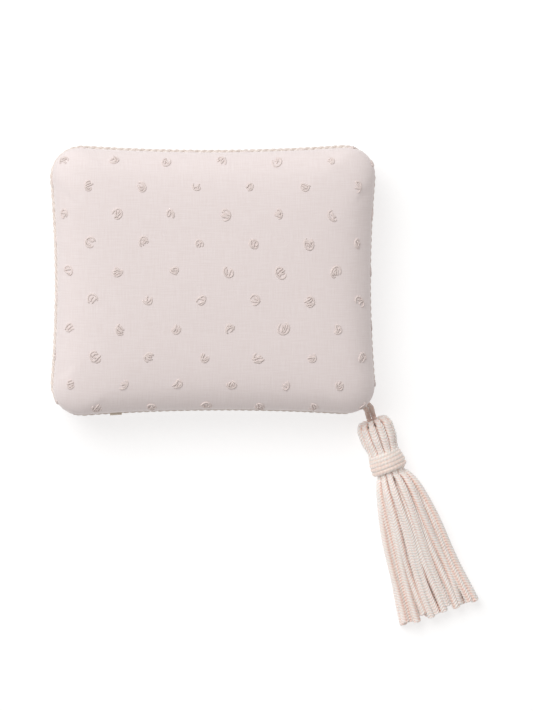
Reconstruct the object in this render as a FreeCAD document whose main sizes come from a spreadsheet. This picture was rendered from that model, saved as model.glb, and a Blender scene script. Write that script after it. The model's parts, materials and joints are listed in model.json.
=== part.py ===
"""Ring bearer pillow with a corner tassel, lying on its back. Millimetres, +Z up.

The origin is the centre of the flat patch of the back that the pillow rests on. X runs along the
pillow's width and Y along its height. The tassel lies on the table off the corner at +X, -Y.
"""

import FreeCAD, Part
import Sketcher
import os
from math import atan2, cos, hypot, pi, radians, sin, sqrt

Vector = FreeCAD.Vector
Rotation = FreeCAD.Rotation
Placement = FreeCAD.Placement
Z_AXIS = Vector(0, 0, 1)

# Each driving dimension: its word in the sheet, its value in mm or degrees, and what it is.
DIMENSIONS = [
    ("pillow_width", 127.0, "corner to corner along X, at the fullest level"),
    ("pillow_height", 105.2, "corner to corner along Y, at the fullest level"),
    ("side_bow", 1.9, "how far each side pulls in between its corners"),
    ("girth_corner", 12.5, "corner radius where the pillow is fullest"),
    ("seam_corner", 6.0, "corner radius of the covers at the seam"),
    ("crown_corner", 16.0, "corner radius at the end of a shoulder"),
    ("seam_level", 15.0, "height of the seam above the table"),
    ("seam_gap", 0.25, "from the seam's middle to each cover's turned-in edge"),
    ("seam_inset", 2.9, "how far the seam lies inside the fullest outline"),
    ("seam_allowance", 6.0, "width of cloth turned in at the seam"),
    ("front_girth_level", 20.5, "height where the front bulges furthest out"),
    ("front_rise", 13.5, "from the front's girth to its crown"),
    ("front_run", 45.0, "from the front's girth in to where the crown is level"),
    ("front_power", 3.0, "squareness of the front's shoulder curve"),
    ("back_girth_level", 10.0, "height where the back bulges furthest out"),
    ("back_rise", 10.0, "from the back's girth down to the table"),
    ("back_run", 17.0, "from the back's girth in to the flat patch"),
    ("back_power", 2.2, "squareness of the back's shoulder curve"),
    ("cover_depth", 0.45, "thickness of the cover cloth"),
    ("lining_outer_depth", 0.55, "from the cover's face to the lining's face"),
    ("lining_inner_depth", 0.9, "from the cover's face to the lining's inside"),
    ("fill_depth", 1.0, "from the cover's face to the stuffing"),
    ("cord_diameter", 2.7, "twisted edge cord"),
    ("cord_inset", 1.0, "middle of the edge cord, inside the fullest outline"),
    ("cord_corner", 8.4, "corner radius of the middle of the edge cord"),
    ("tape_thickness", 0.4, "lip tape of the edge cord"),
    ("stitch_pitch", 3.0, "from one machine stitch to the next"),
    ("stitch_thread", 0.3, "thickness of sewing thread"),
    ("stitch_inset", 1.08, "from the covers' turned-in fold to the line of stitches"),
    ("machine_stitch_share", 0.75, "share of its pitch that a machine stitch fills"),
    ("hand_stitch_share", 0.6, "share of its pitch that a hand stitch fills"),
    ("turning_gap", 42.0, "length of the hand-closed opening in the lower side"),
    ("hand_stitch_pitch", 4.2, "from one hand stitch to the next"),
    ("whipping_length", 5.0, "binding over the two ends of the edge cord"),
    ("whipping_place", 38.0, "from the middle of the lower side to the binding"),
    ("spot_pitch", 21.0, "from one spot to the next along a row"),
    ("spot_row", 11.0, "from one row of spots to the next"),
    ("spot_offset", 4.2, "from the pillow's middle to the nearest spot, both ways"),
    ("spot_lean", 2.4, "lean of the columns of spots, in degrees"),
    ("spot_diameter", 3.8, "clipped-thread spot"),
    ("spot_taper", 0.7, "a spot's top, as a share of its foot"),
    ("spot_height", 0.9, "spot, from within the cloth to its top"),
    ("spot_proud", 0.5, "part of the spot above the cloth"),
    ("spot_margin", 5.0, "cloth left free of spots round the edge"),
    ("tassel_turn", -70.5, "direction of the tassel from +X, in degrees"),
    ("tassel_level", 7.15, "height of the tassel's axis"),
    ("tassel_length", 82.0, "from the top of the head to the skirt's end"),
    ("hanger_reach", 3.0, "from the corner swivel to the lift swivel, in plan"),
    ("lift_offset", 1.3, "from the lift swivel to the top of the head"),
    ("swivel_level", 12.4, "height of the loop where it leaves the corner"),
    ("swivel_outset", 2.0, "corner swivel, outside the corner's fullest point"),
    ("loop_width", 3.8, "both legs of the loop, side by side"),
    ("loop_leg", 1.3, "thickness of each leg of the loop"),
    ("tail_turn", 135.0, "direction of the loop's tail inside the corner, from +X, in degrees"),
    ("tack_spacing", 0.75, "from one tacking stitch on the loop's tail to the next"),
    ("lift_gap", 0.06, "running gap between the loop and the knot's tongue"),
    ("knot_diameter", 4.0, "knot of the loop inside the head"),
    ("knot_depth", 4.4, "from the top of the head to the middle of the knot"),
    ("head_length", 13.4, "from the top of the head to the neck"),
    ("head_outer_ring", 5.7, "ring on which the outer legs lie in the head"),
    ("head_inner_ring", 2.95, "ring on which the inner legs lie in the head"),
    ("gather_start", 0.62, "share of the head after which its cords gather into the neck"),
    ("fold_swell", 1.06, "how much a cord swells where it folds over the head"),
    ("neck_length", 12.3, "length of the wrapped neck"),
    ("neck_outer_ring", 4.45, "ring of the outer legs in the neck"),
    ("neck_inner_ring", 2.67, "ring of the inner legs in the neck"),
    ("wrap_turns", 5.0, "turns of cord round the neck"),
    ("wrap_radius", 6.2, "middle of the wrapped cord, from the tassel's axis"),
    ("wrap_thickness", 1.1, "wrapped cord, flattened"),
    ("wrap_fill", 0.98, "share of a turn's width that the wrapped cord fills"),
    ("flare_power", 1.7, "how early the skirt spreads below the neck"),
    ("relaxed_cord", 2.62, "thickness of a chainette cord at the skirt's end"),
    ("cord_spacing", 2.7, "from one cord to the next at the skirt's end"),
    ("packing", 0.97, "share of the space between two cords that they fill"),
]


CORDS = 12
TACK_STITCHES = 3
STITCH_CLEARANCE = 0.05
HALF_STEP = radians(180 / CORDS)
PIECES = []

HALF_WIDTH = "sizes.pillow_width / 2 - sizes.side_bow"
HALF_HEIGHT = "sizes.pillow_height / 2 - sizes.side_bow"
SIDE_RADIUS = "(sizes.pillow_height / 2 - sizes.girth_corner)^2 / (2 * sizes.side_bow)"
END_RADIUS = "(sizes.pillow_width / 2 - sizes.girth_corner)^2 / (2 * sizes.side_bow)"
WINDOW_INSET = "sizes.seam_inset + sizes.seam_allowance"

document = FreeCAD.newDocument("RingPillow")
sheet = document.addObject("Spreadsheet::Sheet", "sizes")


def fill_sheet():
    for row, (word, value, meaning) in enumerate(DIMENSIONS, start=1):
        sheet.set(f"A{row}", word)
        sheet.set(f"B{row}", str(value))
        sheet.setAlias(f"B{row}", word)
        sheet.set(f"C{row}", meaning)
    document.recompute()


def size(expression):
    """The number that an expression in the sheet's words stands for."""
    return float(sheet.evalExpression(expression))


def keep(piece, label):
    """Name a finished sub-part and list it for export."""
    piece.Label = label
    PIECES.append(piece)
    return piece


# ---- the outline: four inward-bowed sides joined by round corners ----


def corner_centre(inset, corner):
    """Centre of the corner arc at +X, +Y that touches both bowed sides."""
    half_width = size(f"{HALF_WIDTH} - ({inset})")
    half_height = size(f"{HALF_HEIGHT} - ({inset})")
    side = size(SIDE_RADIUS)
    end = size(END_RADIUS)
    radius = size(corner)
    x = half_width - radius
    y = half_height - radius
    for _ in range(40):
        x = half_width + side - sqrt((side + radius) ** 2 - y**2)
        y = half_height + end - sqrt((end + radius) ** 2 - x**2)
    return Vector(x, y, 0)


def outline_arcs(inset, corner):
    """The outline's eight arcs as circle and end angles, anticlockwise from the side at +X."""
    side = size(SIDE_RADIUS)
    end = size(END_RADIUS)
    radius = size(corner)
    middle = corner_centre(inset, corner)
    side_centre = size(f"{HALF_WIDTH} - ({inset})") + side
    end_centre = size(f"{HALF_HEIGHT} - ({inset})") + end
    side_tilt = atan2(middle.y, side_centre - middle.x)
    end_tilt = atan2(middle.x, end_centre - middle.y)
    quarter = pi / 2
    rounds = [(1, 1), (-1, 1), (-1, -1), (1, -1)]
    starts = [-side_tilt, quarter - end_tilt, 2 * quarter - side_tilt, 3 * quarter - end_tilt]
    stops = [quarter + end_tilt, 2 * quarter + side_tilt, 3 * quarter + end_tilt, 4 * quarter + side_tilt]
    sides = [
        (Vector(side_centre, 0, 0), side, pi, side_tilt),
        (Vector(0, end_centre, 0), end, 3 * quarter, end_tilt),
        (Vector(-side_centre, 0, 0), side, 0, side_tilt),
        (Vector(0, -end_centre, 0), end, quarter, end_tilt),
    ]
    arcs = []
    for number, (centre, bend, facing, tilt) in enumerate(sides):
        across, up = rounds[number]
        arcs.append((Part.Circle(centre, Z_AXIS, bend), facing - tilt, facing + tilt))
        corner_circle = Part.Circle(Vector(across * middle.x, up * middle.y, 0), Z_AXIS, radius)
        arcs.append((corner_circle, starts[number], stops[number]))
    return arcs


def outline_wire(inset, corner, level):
    """The same outline as a plain wire at a height."""
    edges = [Part.ArcOfCircle(*arc).toShape() for arc in outline_arcs(inset, corner)]
    wire = Part.Wire(Part.__sortEdges__(edges))
    wire.translate(Vector(0, 0, size(level)))
    return wire


def draw_outline(sketch, inset, corner):
    """Draw the outline in a sketch, fully constrained and bound to the sheet."""
    sketch.addGeometry([Part.ArcOfCircle(*arc) for arc in outline_arcs(inset, corner)], False)
    right, top, left, bottom = 0, 2, 4, 6
    corners = [1, 3, 5, 7]
    start, stop, centre = 1, 2, 3
    constrain = Sketcher.Constraint
    touching = [
        (right, start, corners[0], start),
        (corners[0], stop, top, stop),
        (top, start, corners[1], start),
        (corners[1], stop, left, stop),
        (left, start, corners[2], start),
        (corners[2], stop, bottom, stop),
        (bottom, start, corners[3], start),
        (corners[3], stop, right, stop),
    ]
    rules = [constrain("Tangent", *ends) for ends in touching]
    rules.append(constrain("PointOnObject", right, centre, -1))
    rules.append(constrain("PointOnObject", top, centre, -2))
    rules.append(constrain("Symmetric", right, centre, left, centre, -1, 1))
    rules.append(constrain("Symmetric", top, centre, bottom, centre, -1, 1))
    rules.append(constrain("Equal", right, left))
    rules.append(constrain("Equal", top, bottom))
    rules.extend(constrain("Equal", corners[0], other) for other in corners[1:])
    sketch.addConstraint(rules)
    bound = [
        ("side_radius", ("Radius", right), SIDE_RADIUS),
        ("end_radius", ("Radius", top), END_RADIUS),
        ("corner_radius", ("Radius", corners[0]), corner),
        ("side_centre", ("DistanceX", -1, 1, right, centre), f"{HALF_WIDTH} - ({inset}) + {SIDE_RADIUS}"),
        ("end_centre", ("DistanceY", -1, 1, top, centre), f"{HALF_HEIGHT} - ({inset}) + {END_RADIUS}"),
    ]
    for word, kind, expression in bound:
        number = sketch.addConstraint(constrain(*kind, size(expression)))
        sketch.renameConstraint(number, word)
        sketch.setExpression(f"Constraints.{word}", expression)


def body_sketch(body, name, level):
    """An empty sketch in a body, parallel to its XY plane at a height."""
    plane = next(part for part in body.Origin.OriginFeatures if part.Role == "XY_Plane")
    sketch = body.newObject("Sketcher::SketchObject", name)
    sketch.AttachmentSupport = [(plane, "")]
    sketch.MapMode = "FlatFace"
    sketch.setExpression(".AttachmentOffset.Base.z", level)
    return sketch


def outline_sketch(body, name, inset, corner, level):
    sketch = body_sketch(body, name, level)
    draw_outline(sketch, inset, corner)
    return sketch


# ---- the pillow's curved halves ----


def half_sections(side, depth):
    """Insets, corners and heights of one half's outlines, at a depth below the cover's face.

    From the seam the cloth swells out to its girth along a cosine, then rounds over to the
    crown or the flat back along a superellipse.
    """
    sign = "+" if side == "front" else "-"
    inward = "-" if side == "front" else "+"
    girth = f"sizes.{side}_girth_level"
    rise = f"sizes.{side}_rise"
    run = f"sizes.{side}_run"
    power = f"sizes.{side}_power"
    sections = [
        (f"sizes.seam_inset + {depth}", f"sizes.seam_corner - {depth}",
         f"sizes.seam_level {sign} (sizes.seam_gap + {depth})"),
        (f"sizes.seam_inset / 2 + {depth}", f"(sizes.seam_corner + sizes.girth_corner) / 2 - {depth}",
         f"(sizes.seam_level + {girth}) / 2"),
        (depth, f"sizes.girth_corner - {depth}", girth),
    ]
    turns = (8, 25, 45, 65, 80) if side == "front" else (12, 30, 50, 70, 90)
    for turn in turns:
        along = f"cos({turn} deg)"
        upward = f"sin({turn} deg)"
        in_share = f"(1 - ({along})^(2 / {power}))" if turn < 90 else "1"
        up_share = f"({upward})^(2 / {power})"
        rounding = f"(sizes.crown_corner - sizes.girth_corner) * {in_share}"
        sections.append((
            f"{run} * {in_share} + {depth} * {along}",
            f"sizes.girth_corner + {rounding} - {depth} * {along}",
            f"{girth} {sign} {rise} * {up_share} {inward} {depth} * {upward}",
        ))
    return sections


def add_loft(body, name, kind, side, depth):
    sketches = []
    for number, (inset, corner, level) in enumerate(half_sections(side, depth)):
        sketches.append(outline_sketch(body, f"{name}_{number}", inset, corner, level))
    loft = body.newObject(f"PartDesign::{kind}Loft", name)
    loft.Profile = (sketches[0], [""])
    loft.Sections = [(sketch, [""]) for sketch in sketches[1:]]
    loft.Ruled = True
    loft.Refine = False
    return loft


def add_window(body, name, level):
    """Open the middle of a turned-in edge, which leaves the seam allowance."""
    sketch = outline_sketch(body, f"{name}_outline", WINDOW_INSET, "sizes.girth_corner", level)
    pocket = body.newObject("PartDesign::Pocket", name)
    pocket.Profile = (sketch, [""])
    pocket.Midplane = True
    pocket.setExpression("Length", "sizes.seam_allowance")
    pocket.Refine = False
    return pocket


def cloth_half(label, side, outer, inner):
    """A thin cloth shell of one half, with its seam allowance turned in."""
    body = document.addObject("PartDesign::Body", label)
    add_loft(body, f"{label}_outside", "Additive", side, outer)
    document.recompute()
    add_loft(body, f"{label}_inside", "Subtractive", side, inner)
    document.recompute()
    sign = "+" if side == "front" else "-"
    add_window(body, f"{label}_window", f"sizes.seam_level {sign} (sizes.seam_gap + {outer})")
    return keep(body, label)


def fibre_fill():
    """The stuffing: both halves, joined through the window inside the seam allowances."""
    body = document.addObject("PartDesign::Body", "fibre_fill")
    add_loft(body, "fill_front", "Additive", "front", "sizes.fill_depth")
    document.recompute()
    sketch = outline_sketch(body, "fill_waist_outline", f"{WINDOW_INSET} + sizes.fill_depth",
                            "sizes.girth_corner", "sizes.seam_level")
    waist = body.newObject("PartDesign::Pad", "fill_waist")
    waist.Profile = (sketch, [""])
    waist.Midplane = True
    waist.setExpression("Length", "2 * (sizes.seam_gap + sizes.fill_depth) + sizes.fill_depth")
    document.recompute()
    add_loft(body, "fill_back", "Additive", "back", "sizes.fill_depth")
    return keep(body, "fibre_fill")


def cord_lip_tape():
    """The flat woven tape between the two allowances, from the edge cord inwards."""
    body = document.addObject("PartDesign::Body", "cord_lip_tape")
    outer = outline_sketch(body, "tape_outer", "sizes.seam_inset - sizes.seam_gap",
                           "sizes.cord_corner - sizes.cord_diameter / 2", "sizes.seam_level")
    pad = body.newObject("PartDesign::Pad", "tape_sheet")
    pad.Profile = (outer, [""])
    pad.Midplane = True
    pad.setExpression("Length", "sizes.tape_thickness")
    document.recompute()
    add_window(body, "tape_window", "sizes.seam_level")
    return keep(body, "cord_lip_tape")


def edge_cord():
    """The cord round the seam, swept along its own outline."""
    path = document.addObject("Sketcher::SketchObject", "cord_path")
    draw_outline(path, "sizes.cord_inset", "sizes.cord_corner")
    path.setExpression(".Placement.Base.z", "sizes.seam_level")
    document.recompute()
    first = path.Shape.Edges[0]
    start = first.valueAt(first.FirstParameter)
    heading = first.tangentAt(first.FirstParameter)
    profile = document.addObject("Part::Circle", "cord_profile")
    profile.setExpression("Radius", "sizes.cord_diameter / 2")
    profile.Placement = Placement(start, Rotation(Z_AXIS, heading))
    sweep = document.addObject("Part::Sweep", "edge_cord")
    sweep.Sections = [profile]
    sweep.Spine = (path, [f"Edge{number}" for number in range(1, 9)])
    sweep.Solid = True
    sweep.Frenet = False
    sweep.Transition = "Round corner"
    return keep(sweep, "edge_cord")


def cord_end_whipping():
    """A thread sleeve over the butt of the cord's two ends, on the lower side."""
    end_radius = size(END_RADIUS)
    across = size("sizes.whipping_place")
    sag = end_radius - sqrt(end_radius**2 - across**2)
    middle = Vector(-across, -size(f"{HALF_HEIGHT} - sizes.cord_inset") - sag, size("sizes.seam_level"))
    heading = Vector(1, across / end_radius, 0).normalize()
    outer = document.addObject("Part::Cylinder", "whipping_outer")
    outer.setExpression("Radius", "sizes.cord_diameter / 2 + sizes.stitch_thread")
    inner = document.addObject("Part::Cylinder", "whipping_inner")
    inner.setExpression("Radius", "sizes.cord_diameter / 2 + sizes.lift_gap")
    for tube in (outer, inner):
        tube.setExpression("Height", "sizes.whipping_length")
        start = middle - heading * (size("sizes.whipping_length") / 2)
        tube.Placement = Placement(start, Rotation(Z_AXIS, heading))
    sleeve = document.addObject("Part::Cut", "cord_end_whipping")
    sleeve.Base = outer
    sleeve.Tool = inner
    return keep(sleeve, "cord_end_whipping")


# ---- groups of small pieces ----


def group_of(label, solids):
    """Many alike solids as one sub-part."""
    piece = document.addObject("Part::Feature", label)
    piece.Shape = Part.makeCompound(solids)
    return keep(piece, label)


def surface_point(shape, across, along, top):
    """Where an upright line meets a shape, from above or from below, or None."""
    reach = size("sizes.pillow_width")
    line = Part.makeLine(Vector(across, along, -reach), Vector(across, along, reach))
    levels = [vertex.Z for vertex in shape.common(line).Vertexes]
    if not levels:
        return None
    return Vector(across, along, max(levels) if top else min(levels))


def spots(label, cover, side):
    """Clipped-thread spots in a leaning brick lattice, let into the cover's face."""
    top = side == "front"
    facing = 1 if top else -1
    pitch = size("sizes.spot_pitch")
    row_pitch = size("sizes.spot_row")
    offset = size("sizes.spot_offset")
    lean = sin(radians(size("sizes.spot_lean")))
    half_width = size(f"{HALF_WIDTH} - sizes.spot_margin")
    half_height = size(f"{HALF_HEIGHT} - sizes.spot_margin")
    radius = size("sizes.spot_diameter / 2")
    top_radius = size("sizes.spot_taper * sizes.spot_diameter / 2")
    height = size("sizes.spot_height")
    proud = size("sizes.spot_proud")
    solids = []
    rows = int(half_height / row_pitch) + 1
    columns = int(half_width / pitch) + 1
    for row in range(-rows, rows + 1):
        for column in range(-columns, columns + 1):
            along = offset + row * row_pitch
            across = offset + (column + (row % 2) / 2) * pitch - lean * row * row_pitch
            if abs(across) > half_width or abs(along) > half_height:
                continue
            point = surface_point(cover.Shape, across, along, top)
            if point is None:
                continue
            if not top and point.z < height:
                point.z = proud + STITCH_CLEARANCE
            beside = [surface_point(cover.Shape, across + radius, along, top),
                      surface_point(cover.Shape, across, along + radius, top)]
            normal = Z_AXIS
            if None not in beside and point.z != proud + STITCH_CLEARANCE:
                normal = (beside[0] - point).cross(beside[1] - point).normalize()
            normal = normal * facing
            root = point + normal * (proud - height)
            solids.append(Part.makeCone(radius, top_radius, height, root, normal))
    return group_of(label, solids)


def thread_ring(length, height, thread):
    """One lockstitch: a flat ring of thread standing on edge, along X."""
    outside = Part.makeBox(length, thread, height, Vector(-length / 2, -thread / 2, -height / 2))
    hollow_length = length - 2 * thread
    hollow_height = height - 2 * thread
    hollow = Part.makeBox(hollow_length, 2 * thread, hollow_height,
                          Vector(-hollow_length / 2, -thread, -hollow_height / 2))
    return outside.cut(hollow)


def stitches(label, pitch, length, wanted):
    """Stitches round the seam through the turned-in edges, wherever wanted() says so."""
    thread = size("sizes.stitch_thread")
    height = size("2 * (sizes.seam_gap + sizes.lining_inner_depth) + 2 * sizes.stitch_thread")
    stitch = thread_ring(length, height + 2 * STITCH_CLEARANCE, thread)
    seam = outline_wire("sizes.seam_inset + sizes.stitch_inset", "sizes.seam_corner",
                        "sizes.seam_level")
    points = seam.discretize(Number=int(seam.Length / pitch) + 1)[:-1]
    solids = []
    for number, point in enumerate(points):
        heading = points[(number + 1) % len(points)] - points[number - 1]
        if wanted(point):
            copy = stitch.copy()
            copy.Placement = Placement(point, Rotation(Vector(1, 0, 0), heading))
            solids.append(copy)
    return group_of(label, solids)


def in_turning_gap(point):
    return point.y < 0 and abs(point.x) < size("sizes.turning_gap / 2")


def machine_stitched(point):
    return not in_turning_gap(point)


# ---- the loop between the corner and the tassel ----


def corner_swivel():
    """The upright line, just off the corner at +X, -Y, that the loop turns about."""
    middle = corner_centre("0", "sizes.girth_corner")
    reach = (size("sizes.girth_corner") + size("sizes.swivel_outset")) / sqrt(2)
    return Vector(middle.x + reach, -middle.y - reach, 0)


def tassel_frame():
    """Placement of the tassel: X down its axis, Y across it, origin at the top of its head."""
    turn = size("sizes.tassel_turn")
    heading = Vector(cos(radians(turn)), sin(radians(turn)), 0)
    top = corner_swivel() + heading * size("sizes.hanger_reach + sizes.lift_offset")
    top.z = size("sizes.tassel_level")
    return Placement(top, Rotation(Z_AXIS, turn))


def place(piece, frame, base, axis=Z_AXIS):
    """Put a piece at a point of a frame, with its own Z along an axis of that frame."""
    piece.Placement = frame.multiply(Placement(base, Rotation(Z_AXIS, axis)))


def cylinder(name, radius, height, frame, base, axis=Z_AXIS):
    piece = document.addObject("Part::Cylinder", name)
    piece.setExpression("Radius", radius)
    piece.setExpression("Height", height)
    place(piece, frame, base, axis)
    return piece


def fused(label, shapes):
    piece = document.addObject("Part::MultiFuse", label)
    piece.Shapes = shapes
    return piece


LEG_ASIDE = "sizes.loop_width / 2 - sizes.loop_leg / 2 - sizes.lift_gap"
LOOP_DROP = "sizes.swivel_level - sizes.tassel_level"


def loop_tail():
    """The loop's two ends inside the corner, with their knot, up to the swivel."""
    diagonal = Rotation(Z_AXIS, size("sizes.tail_turn"))
    frame = Placement(corner_swivel() + Z_AXIS * size("sizes.swivel_level"), diagonal)
    inward = Vector(1, 0, 0)
    legs = []
    for name, side in (("tail_left", 1), ("tail_right", -1)):
        base = Vector(0, side * size(LEG_ASIDE), 0)
        legs.append(cylinder(name, "sizes.loop_leg / 2", "sizes.seam_allowance + sizes.loop_width",
                             frame, base, inward))
    knot = document.addObject("Part::Sphere", "tail_knot")
    knot.setExpression("Radius", "sizes.knot_diameter / 2")
    place(knot, frame, Vector(size("sizes.seam_allowance + sizes.loop_width"), 0, 0))
    whole = fused("tail_whole", [*legs, knot])
    clearance = cylinder("tail_clearance", "sizes.loop_width / 2 + sizes.lift_gap",
                         "3 * sizes.loop_leg", frame, Vector(0, 0, -1.5 * size("sizes.loop_leg")))
    tail = document.addObject("Part::Cut", "loop_tail")
    tail.Base = whole
    tail.Tool = clearance
    return keep(tail, "loop_tail")


def loop_tack_stitches():
    """Rings of thread that bind the loop's two ends together inside the seam."""
    thread = size("sizes.stitch_thread")
    width = size("sizes.loop_width") + 2 * thread + 2 * STITCH_CLEARANCE
    height = size("sizes.loop_leg") + 2 * thread + 2 * STITCH_CLEARANCE
    ring = thread_ring(width, height, thread)
    diagonal = Rotation(Z_AXIS, size("sizes.tail_turn"))
    frame = Placement(corner_swivel() + Z_AXIS * size("sizes.swivel_level"), diagonal)
    solids = []
    for number in range(TACK_STITCHES):
        copy = ring.copy()
        place_along = size("sizes.loop_width") + number * size("sizes.tack_spacing")
        copy.Placement = frame.multiply(Placement(Vector(place_along, 0, 0), Rotation(Z_AXIS, 90)))
        solids.append(copy)
    return group_of("loop_tack_stitches", solids)


def hanging_loop():
    """The loop outside the seam: a swivel barrel, two legs, and an eye round the lift axis."""
    turn = Rotation(Z_AXIS, size("sizes.tassel_turn"))
    frame = Placement(corner_swivel() + Z_AXIS * size("sizes.swivel_level"), turn)
    reach = size("sizes.hanger_reach")
    drop = size(LOOP_DROP)
    slope = Vector(reach, 0, -drop)
    across = Vector(0, 1, 0)
    half_leg = size("sizes.loop_leg / 2")
    gap = size("sizes.lift_gap")
    shapes = [cylinder("loop_barrel", "sizes.loop_width / 2", "sizes.loop_leg + 4 * sizes.lift_gap",
                       frame, Vector(0, 0, -half_leg - 2 * gap))]
    for name, side in (("left", 1), ("right", -1)):
        aside = side * size(LEG_ASIDE)
        leg = cylinder(f"loop_leg_{name}", "sizes.loop_leg / 2", "sizes.hanger_reach", frame,
                       Vector(0, aside, 0), slope)
        leg.setExpression("Height", f"sqrt(sizes.hanger_reach^2 + ({LOOP_DROP})^2)")
        eye = cylinder(f"loop_eye_{name}", "sizes.loop_leg / 2 + 3 * sizes.lift_gap",
                       "sizes.loop_leg - 2 * sizes.lift_gap", frame,
                       Vector(reach, aside - half_leg + gap, -drop), across)
        shapes.extend([leg, eye])
    return keep(fused("hanging_loop", shapes), "hanging_loop")


def loop_knot():
    """The loop's knot inside the head, with its neck and a tongue that reaches the lift axis."""
    frame = tassel_frame()
    down = Vector(1, 0, 0)
    across = Vector(0, 1, 0)
    lift = -size("sizes.lift_offset")
    gap = size("sizes.lift_gap")
    tongue_half = size(f"{LEG_ASIDE} - sizes.loop_leg / 2 - sizes.lift_gap")
    eye_radius = size("sizes.loop_leg / 2 + 3 * sizes.lift_gap")
    knot = document.addObject("Part::Sphere", "knot_ball")
    knot.setExpression("Radius", "sizes.knot_diameter / 2")
    place(knot, frame, Vector(size("sizes.knot_depth"), 0, 0))
    stem_start = lift + eye_radius + gap
    stem = cylinder("knot_stem", "sizes.loop_leg / 2", "sizes.knot_depth", frame,
                    Vector(stem_start, 0, 0), down)
    eye = cylinder("knot_eye", "sizes.loop_leg / 2 + 3 * sizes.lift_gap", "1", frame,
                   Vector(lift, -tongue_half, 0), across)
    eye.setExpression("Height", f"2 * ({LEG_ASIDE} - sizes.loop_leg / 2 - sizes.lift_gap)")
    tongue = document.addObject("Part::Box", "knot_tongue")
    tongue.setExpression("Length", "sizes.lift_offset")
    tongue.setExpression("Width", f"2 * ({LEG_ASIDE} - sizes.loop_leg / 2 - sizes.lift_gap)")
    tongue.setExpression("Height", "sizes.loop_leg")
    tongue.Placement = frame.multiply(
        Placement(Vector(lift, -tongue_half, -size("sizes.loop_leg / 2")), Rotation()))
    return keep(fused("loop_knot", [knot, stem, eye, tongue]), "loop_knot")


# ---- the tassel ----


def neck_wrap():
    """Flattened cord wound round the neck, each turn as a closed ring."""
    turns = []
    for number in range(int(size("sizes.wrap_turns"))):
        profile = document.addObject("Part::Ellipse", f"turn_profile_{number + 1}")
        profile.setExpression("MajorRadius", "sizes.wrap_fill * sizes.neck_length / (2 * sizes.wrap_turns)")
        profile.setExpression("MinorRadius", "sizes.wrap_thickness / 2")
        profile.setExpression(".Placement.Base.y", "sizes.wrap_radius")
        profile.setExpression(
            ".Placement.Base.x",
            f"sizes.head_length + ({number} + 0.5) * sizes.neck_length / sizes.wrap_turns")
        ring = document.addObject("Part::Revolution", f"wrap_turn_{number + 1}")
        ring.Source = profile
        ring.Axis = Vector(1, 0, 0)
        ring.Base = Vector(0, 0, 0)
        ring.Angle = 360
        ring.Solid = True
        turns.append(ring)
    wrap = document.addObject("Part::Compound", "neck_wrap")
    wrap.Links = turns
    wrap.Placement = tassel_frame()
    return keep(wrap, "neck_wrap")


def ring_point(radius, angle):
    return radius * cos(angle), radius * sin(angle)


def skirt_end(index, outer):
    """Where a leg lies at the skirt's end: three rows, nested like logs."""
    spacing = size("sizes.cord_spacing")
    angle = (2 * index + 1) * HALF_STEP
    half = CORDS // 2
    if outer:
        column = index if index < half else CORDS - 1 - index
        row_height = spacing * sin(radians(60))
        across = (half - 1 - 2 * column) * spacing
        return across, row_height if sin(angle) > 0 else -row_height
    place_in_row = 2 * index if index < half else 2 * (CORDS - 1 - index) + 1
    return ((CORDS - 1) / 2 - place_in_row) * spacing, 0.0


def leg_positions(along):
    """Centres of all twenty-four legs in the cross-section at a distance down the axis."""
    head = size("sizes.head_length")
    neck_end = size("sizes.head_length + sizes.neck_length")
    length = size("sizes.tassel_length")
    lowest_row = size("sizes.cord_spacing * sin(60 deg) + sizes.relaxed_cord / 2")
    sag = size("sizes.tassel_level") - lowest_row - STITCH_CLEARANCE
    gather = size("sizes.gather_start")
    narrowing = min(max((along / head - gather) / (1 - gather), 0), 1)
    narrowing = narrowing * narrowing * (3 - 2 * narrowing)
    spread = max((along - neck_end) / (length - neck_end), 0)
    aside = 1 - (1 - spread) ** size("sizes.flare_power")
    flatten = spread**2
    legs = []
    for outer in (True, False):
        layer = "outer" if outer else "inner"
        in_head = size(f"sizes.head_{layer}_ring")
        in_neck = size(f"sizes.neck_{layer}_ring")
        radius = in_head + (in_neck - in_head) * narrowing
        for index in range(CORDS):
            y, z = ring_point(radius, (2 * index + 1) * HALF_STEP)
            end_y, end_z = skirt_end(index, outer)
            legs.append((y + (end_y - y) * aside, z + (end_z - z) * flatten - sag * flatten))
    return legs


def leg_thickness(legs, number):
    """A cord swells until it meets its nearest neighbour, or is relaxed."""
    y, z = legs[number]
    nearest = min(hypot(y - other[0], z - other[1])
                  for other_number, other in enumerate(legs) if other_number != number)
    return min(size("sizes.packing") * nearest, size("sizes.relaxed_cord"))


def ring_section(centre, across, heading, diameter):
    """A circle of a cord's cross-section, with its seam kept on one side."""
    circle = Part.makeCircle(diameter / 2)
    circle.Placement = Placement(centre, Rotation(across, heading.cross(across), heading, "ZXY"))
    return Part.Wire([circle])


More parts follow.
